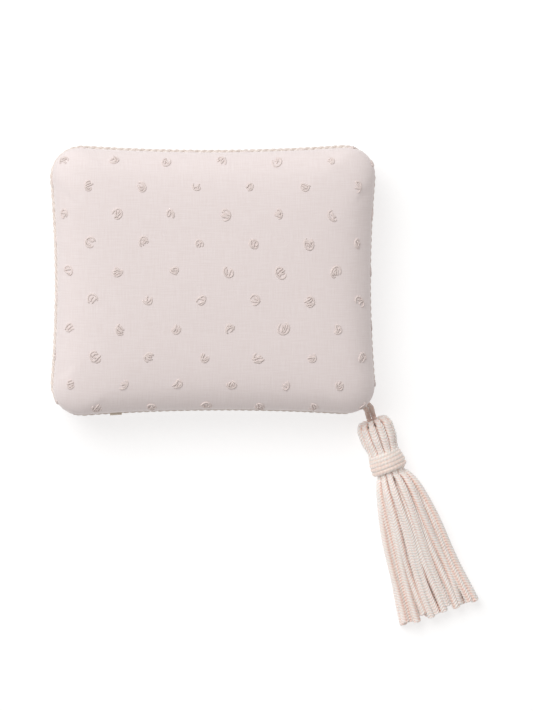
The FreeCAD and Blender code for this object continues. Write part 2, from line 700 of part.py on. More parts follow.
def tassel_cord(index, stations):
    """One chainette cord: up the inside, folded over at the head, and down the outside."""
    angle = (2 * index + 1) * HALF_STEP
    outward = Vector(0, cos(angle), sin(angle))
    across = Vector(0, -sin(angle), cos(angle))
    inner_ring = size("sizes.head_inner_ring")
    outer_ring = size("sizes.head_outer_ring")
    fold = (outer_ring - inner_ring) / 2
    fold_ring = (outer_ring + inner_ring) / 2
    chord = 2 * sin(HALF_STEP) * size("sizes.packing")
    swollen = chord * fold_ring * size("sizes.fold_swell")
    fold_depth = fold + chord * fold_ring / 2
    sections = []
    for along, legs in reversed(stations):
        number = CORDS + index
        centre = Vector(along, *legs[number])
        sections.append(ring_section(centre, across, Vector(-1, 0, 0), leg_thickness(legs, number)))
    for turn in (25, 50, 75, 100, 125, 150):
        bend = radians(turn)
        radius = fold_ring - fold * cos(bend)
        centre = outward * radius + Vector(fold_depth - fold * sin(bend), 0, 0)
        heading = outward * sin(bend) - Vector(1, 0, 0) * cos(bend)
        thickness = min(chord * radius, swollen)
        sections.append(ring_section(centre, across, heading, thickness))
    for along, legs in stations:
        centre = Vector(along, *legs[index])
        thickness = leg_thickness(legs, index)
        if along == stations[0][0]:
            thickness = min(thickness, swollen)
        sections.append(ring_section(centre, across, Vector(1, 0, 0), thickness))
    piece = document.addObject("Part::Feature", f"tassel_cord_{index + 1:02d}")
    piece.Shape = Part.makeLoft(sections, True, True)
    piece.Placement = tassel_frame()
    return keep(piece, f"tassel_cord_{index + 1:02d}")


def tassel_cords():
    fold_end = size("sizes.head_outer_ring - sizes.head_inner_ring") + size("sizes.loop_leg") / 2
    head = size("sizes.head_length")
    neck_end = size("sizes.head_length + sizes.neck_length")
    skirt = size("sizes.tassel_length") - neck_end
    gather = size("sizes.gather_start") * head
    alongs = [fold_end, (fold_end + gather) / 2, gather, (gather + head) / 2, head]
    alongs.extend([(head + neck_end) / 2, neck_end])
    alongs.extend(neck_end + skirt * share for share in (0.08, 0.2, 0.35, 0.55, 0.78, 1.0))
    stations = [(along, leg_positions(along)) for along in alongs]
    for index in range(CORDS):
        tassel_cord(index, stations)


# ---- the whole pillow ----


def build():
    fill_sheet()
    front = cloth_half("front_cover", "front", "0", "sizes.cover_depth")
    back = cloth_half("back_cover", "back", "0", "sizes.cover_depth")
    cloth_half("front_lining", "front", "sizes.lining_outer_depth", "sizes.lining_inner_depth")
    cloth_half("back_lining", "back", "sizes.lining_outer_depth", "sizes.lining_inner_depth")
    fibre_fill()
    cord_lip_tape()
    edge_cord()
    cord_end_whipping()
    document.recompute()
    spots("front_spots", front, "front")
    spots("back_spots", back, "back")
    stitch_pitch = size("sizes.stitch_pitch")
    hand_pitch = size("sizes.hand_stitch_pitch")
    machine_stitch = stitch_pitch * size("sizes.machine_stitch_share")
    hand_stitch = hand_pitch * size("sizes.hand_stitch_share")
    stitches("seam_stitches", stitch_pitch, machine_stitch, machine_stitched)
    stitches("closing_stitches", hand_pitch, hand_stitch, in_turning_gap)
    loop_tail()
    loop_tack_stitches()
    hanging_loop()
    loop_knot()
    neck_wrap()
    tassel_cords()
    document.recompute()


def export():
    for item in document.Objects:
        if "Invalid" in item.State or "Error" in item.State:
            raise SystemExit(f"{item.Name} is {item.State}")
    for piece in PIECES:
        if piece.Shape.isNull() or not piece.Shape.isValid():
            raise SystemExit(f"{piece.Label} has no valid shape")
    os.makedirs("parts", exist_ok=True)
    for piece in PIECES:
        piece.Shape.exportStep(f"parts/{piece.Label}.step")


build()
export()
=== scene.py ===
import json
import math
import random

import bpy
import numpy as np
from mathutils import Matrix, Vector
from mathutils.bvhtree import BVHTree
from mathutils.geometry import barycentric_transform


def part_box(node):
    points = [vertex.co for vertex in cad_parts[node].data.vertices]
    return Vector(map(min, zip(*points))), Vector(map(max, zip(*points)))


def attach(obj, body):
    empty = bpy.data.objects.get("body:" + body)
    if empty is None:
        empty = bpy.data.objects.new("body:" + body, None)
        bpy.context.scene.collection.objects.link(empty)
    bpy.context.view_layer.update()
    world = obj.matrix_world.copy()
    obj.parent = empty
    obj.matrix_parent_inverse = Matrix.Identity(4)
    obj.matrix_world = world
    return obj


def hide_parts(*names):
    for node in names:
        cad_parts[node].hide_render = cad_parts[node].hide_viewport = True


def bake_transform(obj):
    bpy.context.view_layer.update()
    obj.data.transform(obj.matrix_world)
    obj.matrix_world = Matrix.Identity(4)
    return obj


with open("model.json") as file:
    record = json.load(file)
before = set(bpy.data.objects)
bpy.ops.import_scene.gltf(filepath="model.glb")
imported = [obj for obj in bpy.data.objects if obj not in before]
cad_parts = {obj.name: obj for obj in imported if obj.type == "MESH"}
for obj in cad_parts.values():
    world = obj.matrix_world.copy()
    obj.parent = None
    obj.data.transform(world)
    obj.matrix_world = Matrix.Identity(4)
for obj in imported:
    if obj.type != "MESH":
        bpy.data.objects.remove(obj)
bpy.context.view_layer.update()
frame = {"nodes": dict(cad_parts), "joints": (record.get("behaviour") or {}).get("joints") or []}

# Lengths are in metres, and sizes are written as so many MM. The pillow lies on its back on z = 0,
# with its width along x and its height along y. The tassel leaves its corner at +x, -y.

MM = 0.001
UP = np.array([0.0, 0.0, 1.0])

# ---- places taken from the frame ----

COVER_HIGH = np.array(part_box("front_cover")[1])
CORD_LOW, CORD_HIGH = [np.array(corner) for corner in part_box("edge_cord")]
WHIPPING_LOW, WHIPPING_HIGH = [np.array(corner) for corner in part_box("cord_end_whipping")]
JOINTS = {joint["name"]: joint for joint in frame["joints"]}
SWIVEL = np.array(JOINTS["tassel_swing"]["pos_m"])
LIFT = np.array(JOINTS["tassel_lift"]["pos_m"])
HEAD_TOP = np.array(JOINTS["tassel_twist"]["pos_m"])
TASSEL_DOWN = np.array(JOINTS["tassel_twist"]["axis"])
TASSEL_ACROSS = np.cross(UP, TASSEL_DOWN)
SEAM_LEVEL = (CORD_LOW[2] + CORD_HIGH[2]) / 2
CORD_RADIUS = (CORD_HIGH[2] - CORD_LOW[2]) / 2

# ---- the pillow's shape ----

SIDE_BOW = 1.9 * MM  # how hollow each side is at its middle
GIRTH_CORNER = 10.8 * MM  # corner radius where a half is widest
CROWN_CORNER = 16.0 * MM  # corner radius at the edge of a half's flat
SEAM_CORNER = 6.0 * MM
SEAM_INSET = 2.9 * MM  # from the girth in to the seam
SEAM_GAP = 0.25 * MM  # from the seam's middle to each cover
CORD_INSET = 0.65 * MM  # from the girth in to the cord's centre line
CORD_CORNER = 11.4 * MM
CORD_STANDS_OUT = 0.5 * MM  # how far the covers lie inside the CAD outline
HALF_WIDTH = COVER_HIGH[0] - SIDE_BOW - CORD_STANDS_OUT
HALF_HEIGHT = COVER_HIGH[1] - SIDE_BOW - CORD_STANDS_OUT
SIDE_RADIUS = (COVER_HIGH[1] - GIRTH_CORNER) ** 2 / (2 * SIDE_BOW)
END_RADIUS = (COVER_HIGH[0] - GIRTH_CORNER) ** 2 / (2 * SIDE_BOW)

# Each half rises from its girth, at a height, in a curve to the edge of its flat.
# The curve is a quarter of a superellipse, and the crown lifts the flat's middle.
HALVES = {
    "front": {"sign": 1, "girth": 20.5 * MM, "rise": 13.5 * MM, "run": 45.0 * MM, "power": 3.0,
              "last_turn": 80.0, "crown": 0.6 * MM},
    "back": {"sign": -1, "girth": 10.0 * MM, "rise": 9.6 * MM, "run": 17.0 * MM, "power": 2.2,
             "last_turn": 90.0, "crown": 0.0},
}

# ---- how finely it is divided ----

PER_SIDE = 40
SIDE_POINTS = 60
CORNER_POINTS = 24
CORNER_ROUNDS = 30  # passes in which a corner's centre settles between its two sides
CURVE_ROWS = 24
CURVE_START = 5.0  # degrees of the curve, just above the girth
TUCK_ROWS = 9

# ---- cloth ----

COVER_CLOTH = 0.42 * MM
LINING_CLOTH = 0.3 * MM
LINING_DEPTH = 0.6 * MM
FILL_DEPTH = 1.2 * MM
FLUFF = 0.004  # unevenness of the filling, as a share of its size
BACK_RESTS_AT = 0.38 * MM  # leaves room under the back for its pressed spots
CLOTH_SCALE = 20.0  # the cloth solver is steadier on a pillow of this many times the size
CLOTH_FRAMES = 18
HELD_STRIP = 1.5 * MM  # held still along the seam
SWELL_LIMIT = 0.9 * MM
SWELL_FADE = 18.0 * MM  # the swelling reaches its full size this far from the seam

# ---- spots of thread ----

SPOT_PITCH = 21.0 * MM
SPOT_ROW = 11.0 * MM
SPOT_OFFSET = 4.2 * MM
SPOT_LEAN = 0.043  # slope of the columns of spots
SPOT_SLOPE = 0.009  # slope of the rows
SPOT_SIZE = 2.0 * MM  # mean radius of a spot
SPOT_THREAD = 0.33 * MM  # its radius
SPOT_SHIFT = 0.4 * MM
SPOT_TURN = 40  # degrees, at most
SPOT_MARGIN = 2.0 * MM  # cloth left free of spots along the seam
SPOT_REACH = np.array([100.0, 80.0]) * MM  # half of the lattice laid over the cloth
SPOT_SEEDS = {"front": 11, "back": 23}

# ---- edge cord ----

CORD_LAY = 8.0 * MM  # length of one turn of the strands
CORD_STRANDS = 3
STRAND_SHARE = 0.47  # a strand's radius, as a share of the cord's
WHIPPING_THREAD = 0.22 * MM  # its radius
WHIPPING_TURNS = 11

# ---- tassel ----

CORDS = 12
HEAD_LENGTH = 13.4 * MM
NECK_LENGTH = 10.8 * MM
NECK_END = HEAD_LENGTH + NECK_LENGTH
TASSEL_LENGTH = 82.0 * MM
HEAD_OUTER, HEAD_INNER = 5.75 * MM, 2.95 * MM  # rings of outer and inner legs
NECK_OUTER, NECK_INNER = 4.45 * MM, 2.67 * MM
HEAD_MIDDLE = (HEAD_OUTER + HEAD_INNER) / 2
FOLD = (HEAD_OUTER - HEAD_INNER) / 2  # radius of the bend where a cord folds over
FOLD_HEIGHT = 1.2 * FOLD
CHORD = 2 * math.sin(math.pi / CORDS)  # from one cord to the next, on a ring of radius 1
GATHER_START = 0.6  # share of the head above its narrowing
GATHER_IN_HEAD = 0.6  # share of the narrowing that lies in the head
FLARE_POWER = 0.45  # below 1, so that the skirt fans out at once
FLARE_SOFTNESS = 0.0008
SKIRT_CORD = 3.45 * MM
SKIRT_SPACING = 2.72 * MM
UPPER_LEVEL, LOWER_LEVEL = 4.6 * MM, 1.75 * MM  # heights of the two layers at the skirt's end
UPPER_STAGGER = 0.5 * MM  # every second upper leg lies this much higher
UPPER_BULGE = 1.6 * MM  # rise of the upper layer halfway down the skirt
SWAY = 0.6 * MM
WRAP_RADIUS = 5.45 * MM
WRAP_TURNS = 5
WRAP_WIDTH = 4.2 * MM
WRAP_FLATNESS = 0.36
WRAP_WAIST = 0.3 * MM  # the binding is this much slimmer at its two ends
WRAP_TUCK = 0.35  # of a turn, pushed under the binding at each end
WRAP_TUCK_DEPTH = 1.2 * MM
WRAP_RELIEF = 0.12
STITCH_PITCH = 1.15 * MM
STITCH_RELIEF = 0.27  # depth of the stitches, as a share of the cord
LOOP_ASIDE = 1.02 * MM  # from the loop's middle to each of its legs
LOOP_CORD = 2.15 * MM
LOOP_ROOT = 8.0 * MM  # from the swivel inwards to the loop's start
LOOP_SEAM = 1.5 * MM  # from the swivel inwards to where it leaves the seam
LOOP_SHOULDER = 0.15  # share of the free loop at each end
LOOP_ENTRY = 0.8 * MM  # below the second swivel
LOOP_END = 4.0 * MM  # below the head's top
KNOT_DEPTH = 4.4 * MM  # middle of the knot, below the head's top
KNOT_SIZE = 1.5 * MM
KNOT_THREAD = 0.55 * MM
KNOT_WINDS = 7


# ---- outlines ----


def outline(inset, corner):
    """The four quarters of an outline, anticlockwise, each from one corner's middle to the next."""
    half_width = HALF_WIDTH - inset
    half_height = HALF_HEIGHT - inset
    side_centre = half_width + SIDE_RADIUS
    end_centre = half_height + END_RADIUS
    x = half_width - corner
    y = half_height - corner
    for _ in range(CORNER_ROUNDS):
        x = side_centre - math.sqrt((SIDE_RADIUS + corner) ** 2 - y**2)
        y = end_centre - math.sqrt((END_RADIUS + corner) ** 2 - x**2)
    side_tilt = math.atan2(y, side_centre - x)
    end_tilt = math.atan2(x, end_centre - y)

    def corner_arc(across, along, start, stop):
        turns = np.linspace(start, stop, CORNER_POINTS)
        return np.stack([across * x + corner * np.cos(turns), along * y + corner * np.sin(turns)], 1)

    sweep = np.linspace(-side_tilt, side_tilt, SIDE_POINTS)[1:-1]
    side = np.stack([side_centre - SIDE_RADIUS * np.cos(sweep), SIDE_RADIUS * np.sin(sweep)], 1)
    right = np.concatenate([corner_arc(1, -1, -math.pi / 4, side_tilt), side,
                            corner_arc(1, 1, -side_tilt, math.pi / 4)])
    sweep = np.linspace(end_tilt, -end_tilt, SIDE_POINTS)[1:-1]
    end = np.stack([END_RADIUS * np.sin(sweep), end_centre - END_RADIUS * np.cos(sweep)], 1)
    top = np.concatenate([corner_arc(1, 1, math.pi / 4, math.pi / 2 + end_tilt), end,
                          corner_arc(-1, 1, math.pi / 2 - end_tilt, 3 * math.pi / 4)])
    return [right, top, -right, -top]


def eased(share):
    """0 to 1 with a soft start and stop."""
    share = np.clip(share, 0, 1)
    return share * share * (3 - 2 * share)


def travelled(path):
    """Distance along a path, at each of its points."""
    steps = np.linalg.norm(np.diff(path, axis=0), axis=1)
    return np.concatenate([[0], np.cumsum(steps)])


def resampled(path, segments):
    """The path in equal segments, both ends kept."""
    along = travelled(path[:, :3])
    at = np.linspace(0, along[-1], segments + 1)
    return np.stack([np.interp(at, along, column) for column in path.T], 1)


def ring(inset, corner):
    """A closed outline with its quarters evenly divided."""
    return np.concatenate([resampled(quarter, PER_SIDE)[:-1] for quarter in outline(inset, corner)])


def outward(points):
    """Outward directions of a closed anticlockwise ring."""
    ahead = np.roll(points, -1, axis=0) - np.roll(points, 1, axis=0)
    normals = np.stack([ahead[:, 1], -ahead[:, 0]], 1)
    return normals / np.linalg.norm(normals, axis=1)[:, None]


def with_third(pairs):
    """Flat points or directions with a height of nothing."""
    return np.column_stack([pairs, np.zeros(len(pairs))])


# ---- one half of the pillow ----


def profile(side, depth):
    """One half's section from the edge of its flat out to the seam: insets, corners, heights."""
    half = HALVES[side]
    sign = half["sign"]
    girth = half["girth"]
    rows = []
    for turn in np.radians(np.linspace(half["last_turn"], CURVE_START, CURVE_ROWS)):
        along = max(math.cos(turn), 0.0)
        in_share = 1 - along ** (2 / half["power"])
        up_share = math.sin(turn) ** (2 / half["power"])
        corner = GIRTH_CORNER + (CROWN_CORNER - GIRTH_CORNER) * in_share - depth * along
        height = girth + sign * (half["rise"] * up_share - depth * math.sin(turn))
        rows.append((half["run"] * in_share + depth * along, corner, height))
    seam = SEAM_LEVEL + sign * (SEAM_GAP + depth)
    for share in np.linspace(0, 1, TUCK_ROWS):
        swell = (1 - math.cos(math.pi * share)) / 2
        corner = GIRTH_CORNER + (SEAM_CORNER - GIRTH_CORNER) * share - depth
        rows.append((SEAM_INSET * swell + depth, corner, girth + (seam - girth) * share))
    return np.array(rows)


def filled_ring(edge):
    """A grid of points that fills a closed ring of four equal sides."""
    low = np.concatenate([edge[3 * PER_SIDE:], edge[:1]])
    right = edge[:PER_SIDE + 1]
    high = edge[PER_SIDE:2 * PER_SIDE + 1][::-1]
    left = edge[2 * PER_SIDE:3 * PER_SIDE + 1][::-1]
    a = np.linspace(0, 1, PER_SIDE + 1)[:, None, None]
    b = np.linspace(0, 1, PER_SIDE + 1)[None, :, None]
    sides = (1 - b) * low[:, None] + b * high[:, None] + (1 - a) * left[None] + a * right[None]
    corners = ((1 - a) * (1 - b) * low[0] + a * (1 - b) * low[-1]
               + (1 - a) * b * high[0] + a * b * high[-1])
    return sides - corners


def flat_points(edge, height, lift):
    """Points within the flat's edge, lifted most at the middle."""
    grid = filled_ring(edge)[1:-1, 1:-1].reshape(-1, 2)
    share = 2 * np.arange(1, PER_SIDE) / PER_SIDE - 1
    dome = np.outer(1 - share * share, 1 - share * share).ravel()
    return np.column_stack([grid, height + lift * dome])


def flat_faces(first):
    """Faces of the flat. Its edge is the first row of points, and its inner points start at first."""
    numbers = np.empty((PER_SIDE + 1, PER_SIDE + 1), int)
    for index in range(PER_SIDE):
        numbers[PER_SIDE, index] = index
        numbers[PER_SIDE - index, PER_SIDE] = PER_SIDE + index
        numbers[0, PER_SIDE - index] = 2 * PER_SIDE + index
        numbers[index, 0] = 3 * PER_SIDE + index
    within = PER_SIDE - 1
    numbers[1:-1, 1:-1] = first + np.arange(within * within).reshape(within, within)
    faces = []
    for column in range(PER_SIDE):
        for row in range(PER_SIDE):
            faces.append((numbers[column, row], numbers[column, row + 1],
                          numbers[column + 1, row + 1], numbers[column + 1, row]))
    return faces


def wall_faces(rows, count):
    """Faces between each row of a half and the next."""
    faces = []
    for row in range(rows - 1):
        for index in range(count):
            after = (index + 1) % count
            faces.append((row * count + index, row * count + after,
                          (row + 1) * count + after, (row + 1) * count + index))
    return faces


def half_shell(side, depth):
    """Points, faces, flattened cloth places and seam distances of one half."""
    half = HALVES[side]
    rows = profile(side, depth)
    count = 4 * PER_SIDE
    steps = travelled(rows[:, [0, 2]])
    extra = steps - (rows[0, 0] - rows[:, 0])
    points = []
    places = []
    for (inset, corner, height), more in zip(rows, extra):
        plan = ring(inset, corner)
        points.append(np.column_stack([plan, np.full(count, height)]))
        places.append(plan + outward(plan) * more)
    inner = flat_points(points[0][:, :2], rows[0, 2], half["sign"] * half["crown"])
    points = np.concatenate([*points, inner])
    places = np.concatenate([*places, inner[:, :2]])
    from_seam = np.concatenate([np.repeat(steps[-1] - steps, count), np.full(len(inner), steps[-1])])
    faces = wall_faces(len(rows), count) + flat_faces(len(rows) * count)
    if half["sign"] > 0:
        faces = [face[::-1] for face in faces]
    return points, faces, places, from_seam


# ---- making pieces ----


def make_mesh(name, points, faces, attributes=None):
    mesh = bpy.data.meshes.new(name)
    mesh.from_pydata(np.asarray(points).tolist(), [], [tuple(map(int, face)) for face in faces])
    for word, values in (attributes or {}).items():
        values = np.asarray(values, np.float32)
        kind = "FLOAT" if values.ndim == 1 else "FLOAT_VECTOR"
        attribute = mesh.attributes.new(word, kind, "POINT")
        attribute.data.foreach_set("value" if kind == "FLOAT" else "vector", values.ravel())
    mesh.polygons.foreach_set("use_smooth", np.ones(len(mesh.polygons), bool))
    mesh.validate()
    mesh.update()
    return mesh


def make_piece(name, mesh, body, material, slot, *nodes):
    piece = bpy.data.objects.new(name, mesh)
    bpy.context.scene.collection.objects.link(piece)
    mesh.materials.append(material)
    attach(piece, body)
    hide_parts(*nodes)
    return piece


def points_of(mesh):
    flat = np.empty(len(mesh.vertices) * 3)
    mesh.vertices.foreach_get("co", flat)
    return flat.reshape(-1, 3)


def set_points(mesh, points):
    mesh.vertices.foreach_set("co", points.ravel())
    mesh.update()


# ---- threads and cords ----


def frames_along(path, first_normal):
    """Normals carried along a path without twisting."""
    tangents = np.gradient(path, axis=0)
    tangents /= np.linalg.norm(tangents, axis=1)[:, None]
    normal = np.array(first_normal, float)
    normals = np.empty_like(path)
    for index, tangent in enumerate(tangents):
        normal = normal - tangent * (normal @ tangent)
        normal = normal / np.linalg.norm(normal)
        normals[index] = normal
    return tangents, normals


def skin(path, tangents, normals, radii, sides, closed=False, first=0):
    """A tube's points and faces; radii are one number for each point round each ring."""
    sideways = np.cross(tangents, normals)
    turns = np.linspace(0, 2 * math.pi, sides, endpoint=False)
    spokes = (normals[:, None] * np.cos(turns)[None, :, None]
              + sideways[:, None] * np.sin(turns)[None, :, None])
    points = (path[:, None] + spokes * radii[:, :, None]).reshape(-1, 3)
    rings = len(path)
    lower = np.arange(rings if closed else rings - 1)[:, None] * sides
    index = np.arange(sides)[None]
    after = (index + 1) % sides
    upper = (lower + sides) % (rings * sides)
    faces = np.stack([lower + index, lower + after, upper + after, upper + index], 2).reshape(-1, 4)
    faces = [tuple(face) for face in (faces + first)]
    if not closed:
        faces.append(tuple(first + number for number in reversed(range(sides))))
        faces.append(tuple(first + (rings - 1) * sides + number for number in range(sides)))
    along = np.repeat(travelled(path), sides)
    run = np.column_stack([along, np.tile(turns / (2 * math.pi), rings), np.zeros(rings * sides)])
    return points, faces, run


class Bundle:
    """Several tubes gathered into one mesh."""

    def __init__(self):
        self.points = []
        self.faces = []
        self.runs = []
        self.painted_shadings = []
        self.total = 0

    def add(self, path, tangents, normals, radii, sides, closed=False, ridge=None):
        points, faces, run = skin(path, tangents, normals, radii, sides, closed, self.total)
        self.points.append(points)
        self.faces.extend(faces)
        self.runs.append(run)
        # The share of painted shade and highlight at each point, read by the chainette yarns; plain
        # threads get 1.
        self.painted_shadings.append(np.ones(len(points)) if ridge is None else ridge.ravel())
        self.total += len(points)

    def mesh(self, name):
        return make_mesh(name, np.concatenate(self.points), self.faces,
                         {"thread_run": np.concatenate(self.runs), "ridge": np.concatenate(self.painted_shadings)})


def plain_thread(bundle, path, radius, sides=7):
    """A round thread with narrowed ends, along a path that never runs straight up."""
    end_share = 0.6
    off_upright = UP + np.array([0.013, 0.017, 0.0])
    tangents, normals = frames_along(path, off_upright)
    radii = np.full((len(path), sides), radius)
    radii[[0, -1]] *= end_share
    bundle.add(path, tangents, normals, radii, sides)


def chainette(bundle, path, outer_normal, thickness, flat=1.0, depth=STITCH_RELIEF):
    """A knitted cord: V-shaped stitches in two columns on a tube, one column facing outwards."""
    sides = 22
    columns = 2
    slant = 1.25
    sharpness = 1.3
    spine_depth, spine_width = 0.55, 0.16
    side_drop = 0.4
    # Painted shade: the colour share left in the grooves, and how far the two sides darken.
    groove_painted_shade = 0.28
    side_shade = 0.95
    tangents, normals = frames_along(path, outer_normal)
    turns = np.linspace(0, 2 * math.pi, sides, endpoint=False)
    column = (turns / (2 * math.pi) * columns + 0.5) % 1
    fold = np.abs(2 * column - 1)[None]
    phase = travelled(path)[:, None] / STITCH_PITCH + slant * fold
    stitch = np.abs(np.sin(math.pi * phase)) ** sharpness
    spine = 1 - spine_depth * np.exp(-(fold / spine_width) ** 2)
    relief = stitch * spine * (1 - side_drop * fold ** 4)
    radii = thickness[:, None] / 2 * (1 - depth + depth * relief)
    radii = radii * (1 - (1 - flat) * np.cos(turns)[None] ** 2)
    # The colour share: highest on the stitch tops, for a painted highlight, and lowest in the grooves
    # and down the two sides, where the cords lie together, for painted shade.
    ridge = (groove_painted_shade + (1 - groove_painted_shade) * relief) * (1 - side_shade * fold ** 4)
    bundle.add(path, tangents, normals, radii, sides, ridge=ridge)


# ---- materials ----


def new_material(name, colour, roughness, sheen=0.0, specular=0.3):
    material = bpy.data.materials.new(name)
    material.use_nodes = True
    shader = material.node_tree.nodes["Principled BSDF"]
    shader.inputs["Base Color"].default_value = (*colour, 1)
    shader.inputs["Roughness"].default_value = roughness
    shader.inputs["Specular IOR Level"].default_value = specular
    shader.inputs["Sheen Weight"].default_value = sheen
    shader.inputs["Sheen Roughness"].default_value = 0.4
    return material, shader


def node(material, kind, inputs=None, **settings):
    made = material.node_tree.nodes.new(kind)
    for word, value in settings.items():
        setattr(made, word, value)
    for word, value in (inputs or {}).items():
        made.inputs[word].default_value = value
    return made


def link(material, source, target):
    material.node_tree.links.new(source, target)


def streaks(material, coordinates, scale, detail=2.0):
    """Noise stretched by a scale for each axis."""
    mapping = node(material, "ShaderNodeMapping", {"Scale": scale})
    noise = node(material, "ShaderNodeTexNoise", {"Scale": 1.0, "Detail": detail})
    link(material, coordinates, mapping.inputs["Vector"])
    link(material, mapping.outputs["Vector"], noise.inputs["Vector"])
    return noise.outputs["Fac"]


def mixed(material, first, second, share=0.5):
    """first * (1 - share) + second * share."""
    mix = node(material, "ShaderNodeMix", {"Factor": share}, data_type="FLOAT")
    link(material, first, mix.inputs["A"])
    link(material, second, mix.inputs["B"])
    return mix.outputs["Result"]


def tinted(material, shader, factor, dark, light, low=0.3, high=0.7):
    ramp = node(material, "ShaderNodeValToRGB")
    ramp.color_ramp.elements[0].position = low
    ramp.color_ramp.elements[0].color = (*dark, 1)
    ramp.color_ramp.elements[1].position = high
    ramp.color_ramp.elements[1].color = (*light, 1)
    link(material, factor, ramp.inputs["Fac"])
    link(material, ramp.outputs["Color"], shader.inputs["Base Color"])
    return ramp


def bumped(material, shader, height, strength, distance):
    bump = node(material, "ShaderNodeBump", {"Strength": strength, "Distance": distance})
    link(material, height, bump.inputs["Height"])
    link(material, bump.outputs["Normal"], shader.inputs["Normal"])


def thread_crossings(material, coordinates):
    """Waves both ways, multiplied, for the bumps of a plain weave."""
    product = node(material, "ShaderNodeMath", operation="MULTIPLY")
    for place, direction in enumerate(("X", "Y")):
        wave = node(material, "ShaderNodeTexWave", {"Scale": 560.0, "Distortion": 0.4},
                    bands_direction=direction)
        link(material, coordinates, wave.inputs["Vector"])
        link(material, wave.outputs["Fac"], product.inputs[place])
    return product.outputs["Value"]


def woven(name, dark, light, attribute=None):
    """Plain weave with slubs both ways, laid along the flattened cloth or the object."""
    material, shader = new_material(name, light, roughness=0.75, sheen=0.25)
    if attribute:
        source = node(material, "ShaderNodeAttribute", attribute_name=attribute)
        coordinates = source.outputs["Vector"]
    else:
        coordinates = node(material, "ShaderNodeTexCoord").outputs["Object"]
    across_thread, along_thread = 2600, 140
    warp = streaks(material, coordinates, (across_thread, along_thread, along_thread))
    weft = streaks(material, coordinates, (along_thread, across_thread, along_thread))
    slubs = mixed(material, warp, weft)
    relief = mixed(material, slubs, thread_crossings(material, coordinates), 0.35)
    tinted(material, shader, slubs, dark, light, 0.38, 0.62)
    bumped(material, shader, relief, 0.35, 0.12 * MM)
    return material


def spun(name, dark, light, roughness=0.6, sheen=0.2):
    """Twisted thread: fibres running round and along each tube."""
    material, shader = new_material(name, light, roughness, sheen)
    run = node(material, "ShaderNodeAttribute", attribute_name="thread_run")
    fibres = streaks(material, run.outputs["Vector"], (500, 16, 1))
    tinted(material, shader, fibres, dark, light)
    bumped(material, shader, fibres, 0.5, 0.1 * MM)
    return material


def fibrous(name, dark, light, scale):
    """Loose fibres or plain thread on a piece without its own coordinates."""
    material, shader = new_material(name, light, roughness=0.8, sheen=0.2)
    coordinates = node(material, "ShaderNodeTexCoord").outputs["Object"]
    fibres = streaks(material, coordinates, (scale, scale, scale / 4), 4.0)
    tinted(material, shader, fibres, dark, light)
    bumped(material, shader, fibres, 0.5, 0.15 * MM)
    return material


def chainette_yarn(name, groove_shade_colour, middle, light):
    """Shiny knitted cord: the yarn's own pink, with painted shade in salmon down its two sides and in
    its grooves, and a near-white painted highlight on its stitches.
    """
    material, shader = new_material(name, light, roughness=0.38, sheen=0.35, specular=0.5)
    ridge = node(material, "ShaderNodeAttribute", attribute_name="ridge")
    run = node(material, "ShaderNodeAttribute", attribute_name="thread_run")
    fibres = streaks(material, run.outputs["Vector"], (1500, 30, 1), 3.0)
    factor = mixed(material, ridge.outputs["Fac"], fibres, 0.22)
    # The ramp runs from the painted shade colour, through the yarn's own pink at the middle stop, to the
    # painted highlight colour, light.
    ramp = tinted(material, shader, factor, groove_shade_colour, light, 0.1, 0.75)
    middle_stop = ramp.color_ramp.elements.new(0.3)
    middle_stop.color = (*middle, 1)
    shader.inputs["Subsurface Weight"].default_value = 0.12
    shader.inputs["Subsurface Radius"].default_value = (1.0, 0.6, 0.5)
    shader.inputs["Subsurface Scale"].default_value = 1.2 * MM
    bumped(material, shader, fibres, 0.35, 0.08 * MM)
    return material


COVER = woven("cover_cloth", (0.765, 0.682, 0.670), (0.805, 0.730, 0.722), "cloth_place")
LINING = woven("lining_cloth", (0.80, 0.76, 0.70), (0.88, 0.85, 0.80), "cloth_place")
FILL = fibrous("stuffing_fibre", (0.86, 0.86, 0.84), (0.96, 0.96, 0.95), 350.0)
CORD = spun("edge_cord_yarn", (0.62, 0.52, 0.47), (0.90, 0.85, 0.80))
TAPE = woven("lip_tape", (0.70, 0.62, 0.54), (0.80, 0.73, 0.65))
# The spots' thread: its light end is the cloth's own pink, and its darker, browner end is painted shade
# among the tufts.
SHADED_SPOT_THREAD = spun("spot_thread", (0.70, 0.605, 0.575), (0.82, 0.735, 0.71), roughness=0.85, sheen=0.0)
SEWING = fibrous("sewing_thread", (0.70, 0.60, 0.56), (0.84, 0.76, 0.72), 2500.0)
WHIPPING = spun("whipping_thread", (0.66, 0.56, 0.46), (0.84, 0.76, 0.66))
# Chainette yarns, each listed as painted shade, own pink, painted highlight. The neck band's painted
# shade is tan where the cords' is salmon.
YARN = chainette_yarn("tassel_yarn", (0.74, 0.38, 0.30), (0.92, 0.72, 0.64), (1.0, 0.96, 0.925))
# The loop's copy of the yarn is darker all through: painted shade, for the loop hanging in the shade of
# the pillow's corner, and for the knot hidden in the head.
SHADED_LOOP_YARN = chainette_yarn("loop_yarn_shaded", (0.50, 0.24, 0.18), (0.72, 0.50, 0.43), (0.86, 0.72, 0.65))
BAND_YARN = chainette_yarn("band_yarn", (0.76, 0.56, 0.48), (0.86, 0.72, 0.65), (0.97, 0.92, 0.88))


# ---- the pillow ----


def air_pressure(shell):
    """A cloth modifier with air inside the half and its seam pinned."""
    cloth = shell.modifiers.new("padding", "CLOTH")
    settings = cloth.settings
    settings.quality = 6
    settings.mass = 0.1
    settings.vertex_group_mass = "seam"
    settings.use_pressure = True
    settings.uniform_pressure_force = 9.0
    settings.shrink_min = -0.006
    settings.tension_stiffness = 20
    settings.compression_stiffness = 20
    settings.bending_stiffness = 2.0
    settings.effector_weights.gravity = 0.0
    cloth.collision_settings.use_self_collision = False
    cloth.point_cache.frame_start = 1
    cloth.point_cache.frame_end = CLOTH_FRAMES
    return cloth


